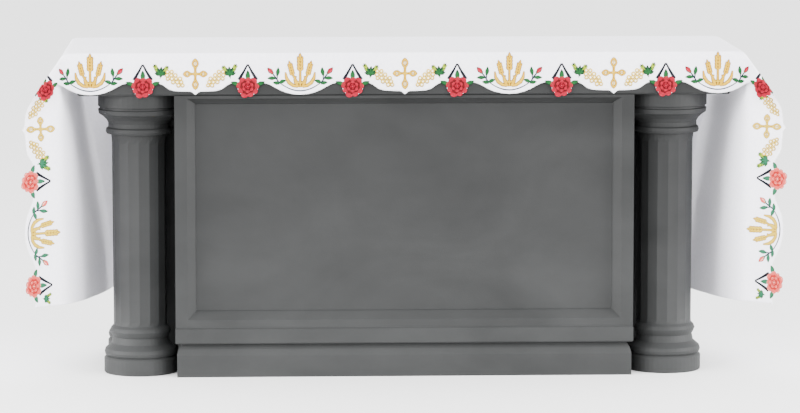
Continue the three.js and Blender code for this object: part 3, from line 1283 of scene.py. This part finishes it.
class Border:
    """Sets the motifs out along the cloth's front edge, in step with its scallops."""

    def __init__(self, sizes: ClothSizes) -> None:
        """Keeps the sizes."""
        self.sizes = sizes

    def _at_cross(self, motifs: Motifs, s: float) -> list[Placement]:
        """Lists the motifs of a cross scallop.

        Args:
            motifs: The drawings to use.
            s: The scallop's middle.

        Returns:
            The placements.
        """
        found = [Placement("crosses", motifs.cross(), s, 64)]
        bunch, leaf = motifs.grapes(), motifs.vine_leaf()
        for side in (-1, 1):
            found.append(Placement("grapes", bunch if side > 0 else bunch.mirrored(), s + side * 63, 78))
            found.append(Placement("vine_leaves", leaf if side > 0 else leaf.mirrored(), s + side * 106, 58))
        return found

    def _at_spray(self, motifs: Motifs, s: float) -> list[Placement]:
        """Lists the motifs of a wheat scallop.

        Args:
            motifs: The drawings to use.
            s: The scallop's middle.

        Returns:
            The placements.
        """
        found = [Placement("wheat", motifs.wheat_spray(), s, 67)]
        found.append(Placement("stems", motifs.under_arc(), s, 67))
        sprig = motifs.bud_sprig()
        for side in (-1, 1):
            art = sprig if side > 0 else sprig.mirrored()
            found.append(Placement("sprigs", art, s + side * 75, 69))
        return found

    def _at_rose(self, motifs: Motifs, s: float) -> list[Placement]:
        """Lists the motifs of a rose.

        Args:
            motifs: The drawings to use.
            s: The rose's middle.

        Returns:
            The placements.
        """
        found = [Placement("rose_frames", motifs.rose_frame(), s, 81)]
        for side in (-1, 1):
            angle = 12 if side > 0 else 168
            leaf = motifs.leaf(28, 7.0, angle, 12 * side).moved(side * 25, 7)
            found.append(Placement("rose_leaves", leaf, s, 104))
        found.append(Placement("roses", motifs.rose(), s, 104))
        return found

    def lay_out(self, motifs: Motifs, least: float, most: float) -> list[Placement]:
        """Lists the motifs on part of the cloth.

        Args:
            motifs: The drawings to use.
            least: Least distance from the cloth's middle, either way.
            most: Greatest distance from it.

        Returns:
            The placements, cut where a motif would pass the end hem.
        """
        found: list[Placement] = []
        count = int(self.sizes.half_length // self.sizes.pitch) + 2
        for i in range(-2 * count, 2 * count + 1):
            s = i * self.sizes.pitch / 2
            if i % 2:
                found += self._at_rose(motifs, s)
            elif i % 4 == 0:
                found += self._at_cross(motifs, s)
            else:
                found += self._at_spray(motifs, s)
        kept = []
        for placed in found:
            xs = [x for r in placed.art.ribbons for x, _ in r.spine]
            reach = [abs(placed.s + x) for x in (min(xs), max(xs))]
            if max(reach) <= most and min(reach) >= least and abs(placed.s) >= least:
                kept.append(placed)
        if most > 5.5 * self.sizes.pitch:
            for end in (-1, 1):
                leaf = motifs.vine_leaf().scaled(0.72)
                kept.append(Placement("vine_leaves", leaf, end * (5.5 * self.sizes.pitch + 41), 55))
        return kept


class Needlework:
    """Turns placed motifs into closed meshes that lie on the draped cloth."""

    LONGEST = 5.0

    def __init__(self, table: DrapeTable, thick: float) -> None:
        """Keeps the drape and the cloth's thickness."""
        self.table = table
        self.lift = thick / 2

    def _sections(self, ribbon: Ribbon) -> tuple[np.ndarray, np.ndarray, np.ndarray, np.ndarray]:
        """Cuts a band into short lengths.

        Args:
            ribbon: The band.

        Returns:
            Its middle points, sideways directions, half widths and distances along it.
        """
        spine, halves = np.array(ribbon.spine, float), np.array(ribbon.half_widths)
        if ribbon.closed:
            spine, halves = np.vstack([spine, spine[:1]]), np.append(halves, halves[0])
        steps = np.linalg.norm(np.diff(spine, axis=0), axis=1)
        run = np.concatenate([[0.0], np.cumsum(steps)])
        more = []
        for a, b in zip(run, run[1:]):
            parts = max(1, math.ceil((b - a) / self.LONGEST))
            more.append(np.linspace(a, b, parts, endpoint=False))
        at = np.concatenate([*more, [] if ribbon.closed else [run[-1]]])
        points = np.column_stack([np.interp(at, run, spine[:, 0]), np.interp(at, run, spine[:, 1])])
        if ribbon.closed:
            tangent = np.roll(points, -1, axis=0) - np.roll(points, 1, axis=0)
        else:
            tangent = np.gradient(points, axis=0)
        tangent /= np.maximum(np.linalg.norm(tangent, axis=1, keepdims=True), 1e-9)
        aside = np.stack([-tangent[:, 1], tangent[:, 0]], axis=1)
        return points, aside, np.interp(at, run, halves), at

    def _profile(self, widest: float) -> list[Point]:
        """Gives the outline of a band's section: padded above, and close to the cloth below.

        Args:
            widest: The band's greatest half width.

        Returns:
            Places across (-1 to 1) and heights (0 at the cloth to 1), all the way round.
        """
        count = 5 if widest < 4.5 else 7 if widest < 9 else 15
        across = np.sin(np.linspace(-math.pi / 2, math.pi / 2, count))
        outline = [(float(x), math.sqrt(max(0.0, 1 - float(x) ** 4))) for x in across]
        if count > 5:
            outline += [(float(x), 0.0) for x in across[-2:0:-1]]
        return outline

    def build(self, name: str, placed: Sequence[Placement], side: int) -> Optional[bpy.types.Object]:
        """Builds one object from all the motifs of a group.

        Args:
            name: The object's name.
            placed: The motifs.
            side: 1 for the face of the cloth, -1 for its reverse.

        Returns:
            The object, or nothing where there is no motif.
        """
        if not placed:
            return None
        flat: list[np.ndarray] = []
        faces: list[tuple[int, ...]] = []
        threads: list[Thread] = []
        uvs: list[tuple[float, float]] = []
        start = 0
        for place in placed:
            for ribbon in place.art.ribbons:
                spine, aside, halves, along = self._sections(ribbon)
                ring = self._profile(max(ribbon.half_widths))
                n = len(ring)
                rows = []
                for out, up in ring:
                    xy = spine + aside * (halves[:, None] * out)
                    z = np.full(len(spine), -0.15 + (ribbon.height + 0.55) * up)
                    rows.append(np.column_stack([place.s + xy[:, 0], place.b - xy[:, 1], z]))
                grid = np.stack(rows, axis=1)
                flat.append(grid.reshape(-1, 3))
                count = len(spine)
                for i in range(count):
                    for out, _ in ring:
                        uvs.append((along[i] * MM, out * halves[i] * MM))
                loops = count if ribbon.closed else count - 1
                for i in range(loops):
                    k = (i + 1) % count
                    for j in range(n):
                        m = (j + 1) % n
                        here, there = start + i * n, start + k * n
                        faces.append((here + j, there + j, there + m, here + m))
                        threads.append(ribbon.thread)
                if not ribbon.closed:
                    faces.append(tuple(start + j for j in range(n)))
                    faces.append(tuple(start + (count - 1) * n + j for j in reversed(range(n))))
                    threads += [ribbon.thread] * 2
                start += count * n
        points = np.concatenate(flat)
        base, normals = self.table.read(points[:, 0], points[:, 1])
        where = base + normals * (side * (self.lift + points[:, 2]))[:, None]
        if side > 0:
            faces = [tuple(reversed(f)) for f in faces]
        return self._mesh(name, where * MM, faces, threads, uvs)

    def _mesh(
        self,
        name: str,
        points: np.ndarray,
        faces: Sequence[tuple[int, ...]],
        threads: Sequence[Thread],
        uvs: Sequence[tuple[float, float]],
    ) -> bpy.types.Object:
        """Makes the object, with one material slot for each thread.

        Args:
            name: The object's name.
            points: Its points, in metres.
            faces: Its faces, as point numbers.
            threads: The thread of each face.
            uvs: The flat place of each point on its band.

        Returns:
            The object.
        """
        mesh = bpy.data.meshes.new(name)
        mesh.from_pydata(points.tolist(), [], faces)
        used = sorted(set(threads), key=lambda t: t.name)
        for thread in used:
            mesh.materials.append(Workshop.thread(thread))
        index = {thread: i for i, thread in enumerate(used)}
        mesh.polygons.foreach_set("material_index", [index[t] for t in threads])
        mesh.polygons.foreach_set("use_smooth", [True] * len(mesh.polygons))
        layer = mesh.uv_layers.new(name="stitch")
        corners = np.zeros(len(mesh.loops), np.int32)
        mesh.loops.foreach_get("vertex_index", corners)
        layer.data.foreach_set("uv", np.array(uvs, np.float32)[corners].ravel())
        made = bpy.data.objects.new(name, mesh)
        bpy.context.collection.objects.link(made)
        return made


class Workshop:
    """Holds the materials, each built when it is first asked for."""

    effects = SharedEffects()
    _made: dict[str, bpy.types.Material] = {}

    @classmethod
    def thread(cls, thread: Thread) -> bpy.types.Material:
        """Gives the material of a thread.

        Args:
            thread: The thread's colour.

        Returns:
            The material.
        """
        if thread.name not in cls._made:
            cls._made[thread.name] = ThreadFinish(cls.effects).build(thread)
        return cls._made[thread.name]

    @classmethod
    def cloth(cls) -> bpy.types.Material:
        """Gives the cloth's material.

        Returns:
            The material.
        """
        if "cloth" not in cls._made:
            cls._made["cloth"] = ClothFinish(cls.effects).build()
        return cls._made["cloth"]


# Cloth pieces


@dataclass
class ClothSheet:
    """The cloth itself: one sheet with two faces and a rim, in its hanging shape."""

    sizes: ClothSizes
    column_step: float = 6.0
    front_rows: int = 15
    panel_step: float = 26.0
    back_rows: int = 7

    def _grid(self, scallops: Scallops) -> tuple[np.ndarray, np.ndarray]:
        """Lists the flat places of the sheet's points.

        Args:
            scallops: The shape of the free edge.

        Returns:
            Distances along and in front, both as grids of columns by rows.
        """
        z = self.sizes
        count = int(round(2 * z.half_length / self.column_step))
        s = np.linspace(-z.half_length, z.half_length, count + 1)
        edge = np.array([9.0, 6.0, 4.0, 2.0, 0.0, -2.0, -4.0, -6.0, -9.0])
        shares = np.linspace(1, 0, self.front_rows, endpoint=False)
        hang = scallops.hang(s)[:, None]
        front = edge[0] + (hang - edge[0]) * shares[None, :]
        inner = np.arange(-20.0, -z.top_depth + 15, -self.panel_step)
        behind = -z.top_depth - np.linspace(0, z.back_hang, self.back_rows + 1)[1:]
        fixed = np.concatenate([edge, inner, edge - z.top_depth, behind[behind < -z.top_depth - 10]])
        b = np.concatenate([front, np.repeat(fixed[None, :], len(s), axis=0)], axis=1)
        return self.sizes.towards_hem(np.repeat(s[:, None], b.shape[1], axis=1), b), b

    def build(self, drape: Drape, scallops: Scallops) -> bpy.types.Object:
        """Builds the sheet.

        Args:
            drape: Where flat points hang.
            scallops: The shape of the free edge.

        Returns:
            The sheet's object.
        """
        s, b = self._grid(scallops)
        middle, normal = drape.surface(s, b)
        half = self.sizes.thick / 2
        layers = [middle + normal * half, middle - normal * half]
        points = np.concatenate([layer.reshape(-1, 3) for layer in layers]) * MM
        columns, rows = s.shape
        faces = self._faces(columns, rows)
        mesh = bpy.data.meshes.new("cloth_sheet")
        mesh.from_pydata(points.tolist(), [], faces)
        mesh.materials.append(Workshop.cloth())
        mesh.polygons.foreach_set("use_smooth", [True] * len(mesh.polygons))
        layer = mesh.uv_layers.new(name="flat")
        corners = np.zeros(len(mesh.loops), np.int32)
        mesh.loops.foreach_get("vertex_index", corners)
        flat = np.column_stack([s.ravel(), -b.ravel()]) * MM
        layer.data.foreach_set("uv", np.concatenate([flat, flat])[corners].astype(np.float32).ravel())
        made = bpy.data.objects.new("cloth_sheet", mesh)
        bpy.context.collection.objects.link(made)
        return made

    def _faces(self, columns: int, rows: int) -> list[tuple[int, int, int, int]]:
        """Lists the quads of both layers and of the rim.

        Args:
            columns: Points along the cloth.
            rows: Points across it.

        Returns:
            The quads, all facing out.
        """
        layer = columns * rows
        faces = []
        for i in range(columns - 1):
            for j in range(rows - 1):
                a, c = i * rows + j, (i + 1) * rows + j
                faces.append((a, c, c + 1, a + 1))
                faces.append((layer + a + 1, layer + c + 1, layer + c, layer + a))
            a, c = i * rows, (i + 1) * rows
            faces.append((c, a, layer + a, layer + c))
            a, c = a + rows - 1, c + rows - 1
            faces.append((a, c, layer + c, layer + a))
        for j in range(rows - 1):
            faces.append((j, j + 1, layer + j + 1, layer + j))
            k = (columns - 1) * rows + j
            faces.append((k + 1, k, layer + k, layer + k + 1))
        return faces


class StitchLine:
    """Small stitches that follow a line on the cloth, laid by Geometry Nodes."""

    def __init__(self) -> None:
        """Builds the node tree once."""
        self.tree = self._tree()

    def _tree(self) -> bpy.types.NodeTree:
        """Lays out the tree: a curve is resampled, and a stitch is set across each point.

        Returns:
            The tree.
        """
        tree = bpy.data.node_groups.new("stitches along a line", "GeometryNodeTree")
        face = tree.interface
        face.new_socket("Geometry", in_out="INPUT", socket_type="NodeSocketGeometry")
        for name, value in (("Spacing", 0.002), ("Length", 0.002), ("Width", 0.0009), ("Uneven", 0.15)):
            face.new_socket(name, in_out="INPUT", socket_type="NodeSocketFloat").default_value = value
        face.new_socket("Seed", in_out="INPUT", socket_type="NodeSocketInt").default_value = 7
        face.new_socket("Material", in_out="INPUT", socket_type="NodeSocketMaterial")
        face.new_socket("Geometry", in_out="OUTPUT", socket_type="NodeSocketGeometry")
        bench = NodeBench(tree)
        entry, leave = bench.add("NodeGroupInput"), bench.add("NodeGroupOutput")
        curve = bench.add("GeometryNodeMeshToCurve")
        again = bench.add("GeometryNodeResampleCurve", mode="LENGTH")
        bench.join(entry.outputs["Geometry"], curve.inputs[0])
        bench.join(curve.outputs[0], again.inputs["Curve"])
        bench.join(entry.outputs["Spacing"], again.inputs["Length"])
        ball = bench.add("GeometryNodeMeshIcoSphere")
        ball.inputs["Subdivisions"].default_value = 1
        ball.inputs["Radius"].default_value = 0.5
        smooth = bench.add("GeometryNodeSetShadeSmooth")
        bench.join(ball.outputs[0], smooth.inputs[0])
        frame = bench.add("FunctionNodeAxesToRotation", primary_axis="Z", secondary_axis="X")
        for name, socket in (("out", 0), ("run", 1)):
            read = bench.add("GeometryNodeInputNamedAttribute", data_type="FLOAT_VECTOR")
            read.inputs["Name"].default_value = name
            bench.join(read.outputs["Attribute"], frame.inputs[socket])
        uneven = bench.add("FunctionNodeRandomValue", data_type="FLOAT")
        low = bench.math("SUBTRACT", 1.0, entry.outputs["Uneven"])
        high = bench.math("ADD", 1.0, entry.outputs["Uneven"])
        bench.join(low, uneven.inputs[2])
        bench.join(high, uneven.inputs[3])
        bench.join(entry.outputs["Seed"], uneven.inputs["Seed"])
        size = bench.add("ShaderNodeCombineXYZ")
        bench.join(entry.outputs["Width"], size.inputs[0])
        bench.join(bench.math("MULTIPLY", entry.outputs["Length"], uneven.outputs[1]), size.inputs[1])
        bench.join(bench.math("MULTIPLY", entry.outputs["Width"], 0.9), size.inputs[2])
        place = bench.add("GeometryNodeInstanceOnPoints")
        bench.join(again.outputs[0], place.inputs["Points"])
        bench.join(smooth.outputs[0], place.inputs["Instance"])
        bench.join(frame.outputs[0], place.inputs["Rotation"])
        bench.join(size.outputs[0], place.inputs["Scale"])
        real = bench.add("GeometryNodeRealizeInstances")
        dress = bench.add("GeometryNodeSetMaterial")
        bench.join(place.outputs[0], real.inputs[0])
        bench.join(real.outputs[0], dress.inputs[0])
        bench.join(entry.outputs["Material"], dress.inputs["Material"])
        bench.join(dress.outputs[0], leave.inputs[0])
        return tree

    def build(
        self, name: str, points: np.ndarray, out: np.ndarray, values: dict[str, object]
    ) -> bpy.types.Object:
        """Lays stitches along a line and makes them a plain mesh.

        Args:
            name: The object's name.
            points: The line's points, in metres.
            out: The direction away from the cloth at each point.
            values: The tree's inputs by name.

        Returns:
            The object.
        """
        line = bpy.data.meshes.new(name)
        line.from_pydata(points.tolist(), [(i, i + 1) for i in range(len(points) - 1)], [])
        run = np.gradient(points, axis=0)
        run /= np.maximum(np.linalg.norm(run, axis=1, keepdims=True), 1e-12)
        for label, vectors in (("out", out), ("run", run)):
            held = line.attributes.new(label, "FLOAT_VECTOR", "POINT")
            held.data.foreach_set("vector", vectors.astype(np.float32).ravel())
        carrier = bpy.data.objects.new(name + "_line", line)
        bpy.context.collection.objects.link(carrier)
        modifier = carrier.modifiers.new("stitches", "NODES")
        modifier.node_group = self.tree
        for item in self.tree.interface.items_tree:
            if item.item_type == "SOCKET" and item.in_out == "INPUT" and item.name in values:
                modifier[item.identifier] = values[item.name]
        graph = bpy.context.evaluated_depsgraph_get()
        plain = bpy.data.meshes.new_from_object(carrier.evaluated_get(graph))
        carrier.modifiers.clear()
        bpy.data.objects.remove(carrier)
        plain.name = name
        made = bpy.data.objects.new(name, plain)
        bpy.context.collection.objects.link(made)
        self._stitch_uv(plain)
        return made

    def _stitch_uv(self, mesh: bpy.types.Mesh) -> None:
        """Gives every corner a UV from its place, so that the thread shows along each stitch.

        Args:
            mesh: The mesh to give the UV.
        """
        if "stitch" in mesh.uv_layers:
            return
        layer = mesh.uv_layers.new(name="stitch")
        corners = np.zeros(len(mesh.loops), np.int32)
        mesh.loops.foreach_get("vertex_index", corners)
        where = np.zeros(len(mesh.vertices) * 3, np.float32)
        mesh.vertices.foreach_get("co", where)
        where = where.reshape(-1, 3)
        flat = np.column_stack([where[:, 0] + where[:, 1], where[:, 2]])
        layer.data.foreach_set("uv", flat[corners].ravel())


@dataclass
class AltarCloth:
    """The cloth with its edge stitching, hems and embroidered border."""

    sizes: ClothSizes = field(default_factory=ClothSizes)
    reverse_from: float = 1060.0

    def build(self) -> list[bpy.types.Object]:
        """Builds the sheet and all the work on it.

        Returns:
            The sheet first, then its other pieces.
        """
        drape, scallops = Drape(self.sizes), Scallops(self.sizes.pitch)
        sheet_maker = ClothSheet(self.sizes)
        sheet = sheet_maker.build(drape, scallops)
        LOG.info("cloth sheet: %d faces", len(sheet.data.polygons))
        table = DrapeTable(drape)
        pieces = self._embroider(table)
        pieces += self._edge_stitches(drape, scallops)
        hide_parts("altar_cloth")
        for piece in [sheet, *pieces]:
            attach(piece, "root")
        return [sheet, *pieces]

    def _embroider(self, table: DrapeTable) -> list[bpy.types.Object]:
        """Works the border on the face, and its paler reverse on the side drops.

        Args:
            table: Where the border hangs.

        Returns:
            One piece for each kind of motif and side.
        """
        border, needle = Border(self.sizes), Needlework(table, self.sizes.thick)
        most = self.sizes.half_length - 8
        pieces = []
        for side, palette, least in ((1, FACE, 0.0), (-1, REVERSE, self.reverse_from)):
            placed = border.lay_out(Motifs(palette), least, most)
            for group in sorted({p.group for p in placed}):
                name = f"{group}_{'face' if side > 0 else 'reverse'}"
                made = needle.build(name, [p for p in placed if p.group == group], side)
                if made:
                    LOG.info("%s: %d faces", name, len(made.data.polygons))
                    pieces.append(made)
        return pieces

    def _edge_stitches(self, drape: Drape, scallops: Scallops) -> list[bpy.types.Object]:
        """Overcasts the scalloped edge and runs a hem line along the other three sides.

        Args:
            drape: Where flat points hang.
            scallops: The shape of the free edge.

        Returns:
            The edge stitches and the hem stitches.
        """
        z = self.sizes
        maker = StitchLine()
        s = np.linspace(-z.half_length + 1, z.half_length - 1, 2400)
        b = scallops.hang(s) - 0.4
        edge, out = drape.surface(s, b)
        values = {
            "Spacing": 0.0016,
            "Length": 0.0034,
            "Width": 0.0019,
            "Seed": 3,
            "Material": Workshop.thread(Thread.WHITE),
        }
        pieces = [maker.build("edge_stitches", edge * MM, out, values)]
        pieces += self._hem_stitches(drape, maker)
        return pieces

    def _hem_stitches(self, drape: Drape, maker: StitchLine) -> list[bpy.types.Object]:
        """Runs small stitches along the back hem and the two end hems, on the face.

        Args:
            drape: Where flat points hang.
            maker: What lays the stitches.

        Returns:
            One piece for each hem.
        """
        z = self.sizes
        inset = 16.0
        back = -(z.top_depth + z.back_hang - inset)
        lines = {
            "hem_stitches_back": (np.linspace(-z.half_length + inset, z.half_length - inset, 900), None),
            "hem_stitches_left": (None, -z.half_length + inset),
            "hem_stitches_right": (None, z.half_length - inset),
        }
        pieces = []
        for seed, (name, (along, end)) in enumerate(lines.items()):
            if along is None:
                b = np.linspace(84.0, back, 320)
                s = z.towards_hem(np.full_like(b, end), b)
            else:
                b = np.full_like(along, back)
                s = z.towards_hem(along, b)
            lift = z.thick / 2 + 0.1
            middle, out = drape.surface(s, b)
            values = {
                "Spacing": 0.0042,
                "Length": 0.0008,
                "Width": 0.0026,
                "Seed": seed,
                "Material": Workshop.thread(Thread.WHITE),
            }
            pieces.append(maker.build(name, (middle + out * lift) * MM, out, values))
        return pieces


# Altar table and studio


@dataclass
class AltarTable:
    """The stone table under the cloth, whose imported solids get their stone."""

    nodes: tuple[str, ...] = (
        "mensa_slab",
        "support_block",
        "block_foot",
        "column_front_left",
        "column_front_right",
        "column_back_left",
        "column_back_right",
        "end_post_left",
        "end_post_right",
    )

    def dress(self, frame: dict) -> None:
        """Gives each block its own piece of the same stone.
        """
        for i, name in enumerate(self.nodes):
            block = frame["nodes"][name]
            stone = StoneFinish(Workshop.effects).build(name.replace("_", " ") + " stone", 2.3 * i)
            block.data.materials.clear()
            block.data.materials.append(stone)
            LOG.info("%s dressed", name)


@dataclass
class Studio:
    """Plain pale floor, soft light and the camera at the photograph's angle."""

    eye: tuple[float, float, float] = (-0.499, -12.32, 1.938)
    pitch: float = 6.7
    yaw: float = 2.31
    lens: float = 177.3

    def build(self) -> None:
        """Builds the floor, the lights and the camera."""
        self._floor()
        self._world()
        self._light("left soft light", (-4.6, -5.6, 3.6), (0.4, 0.0, 0.6), 3.0, 520.0)
        self._light("right soft light", (4.6, -5.6, 3.6), (-0.4, 0.0, 0.6), 3.0, 440.0)
        self._light("left side light", (-5.0, -1.6, 1.2), (-1.0, 0.0, 0.6), 2.4, 500.0)
        self._light("right side light", (5.0, -1.6, 1.2), (1.0, 0.0, 0.6), 2.4, 500.0)
        lens = bpy.data.cameras.new("camera")
        lens.lens = self.lens
        lens.sensor_width = 36.0
        lens.clip_end = 100.0
        camera = bpy.data.objects.new("camera", lens)
        camera.location = self.eye
        camera.rotation_euler = (math.radians(90 - self.pitch), 0.0, -math.radians(self.yaw))
        bpy.context.collection.objects.link(camera)
        bpy.context.scene.camera = camera

    def _floor(self) -> None:
        """Lays the floor a little below the foot."""
        size = 60.0
        corners = [(-size, -size, 0.0), (size, -size, 0.0), (size, size, 0.0), (-size, size, 0.0)]
        mesh = bpy.data.meshes.new("floor")
        mesh.from_pydata(corners, [], [(0, 1, 2, 3)])
        floor = bpy.data.objects.new("floor", mesh)
        material = bpy.data.materials.new("pale floor")
        material.use_nodes = True
        shader = material.node_tree.nodes["Principled BSDF"]
        shader.inputs["Base Color"].default_value = (0.93, 0.93, 0.93, 1.0)
        shader.inputs["Roughness"].default_value = 0.9
        mesh.materials.append(material)
        bpy.context.collection.objects.link(floor)

    def _world(self) -> None:
        """Sets an even white sky."""
        world = bpy.data.worlds.new("white sky")
        world.use_nodes = True
        sky = world.node_tree.nodes["Background"]
        sky.inputs[0].default_value = (1.0, 1.0, 1.0, 1.0)
        sky.inputs[1].default_value = 2.9
        bpy.context.scene.world = world

    def _light(
        self,
        name: str,
        place: tuple[float, float, float],
        aim: tuple[float, float, float],
        size: float,
        power: float,
    ) -> None:
        """Adds a square soft light.

        Args:
            name: The light's name.
            place: Where it stands.
            aim: The point that it faces.
            size: Its side, in metres.
            power: Its power, in watts.
        """
        data = bpy.data.lights.new(name, "AREA")
        data.size = size
        data.energy = power
        lamp = bpy.data.objects.new(name, data)
        lamp.location = place
        lamp.rotation_euler = (Vector(aim) - Vector(place)).to_track_quat("-Z", "Y").to_euler()
        bpy.context.collection.objects.link(lamp)


def main() -> None:
    """Builds the studio, the table and the cloth."""
    logging.basicConfig(level=logging.INFO)
    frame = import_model()
    Studio().build()
    AltarTable().dress(frame)
    for piece in AltarCloth().build():
        LOG.info("built %s", piece.name)


if __name__ == "__main__":
    main()
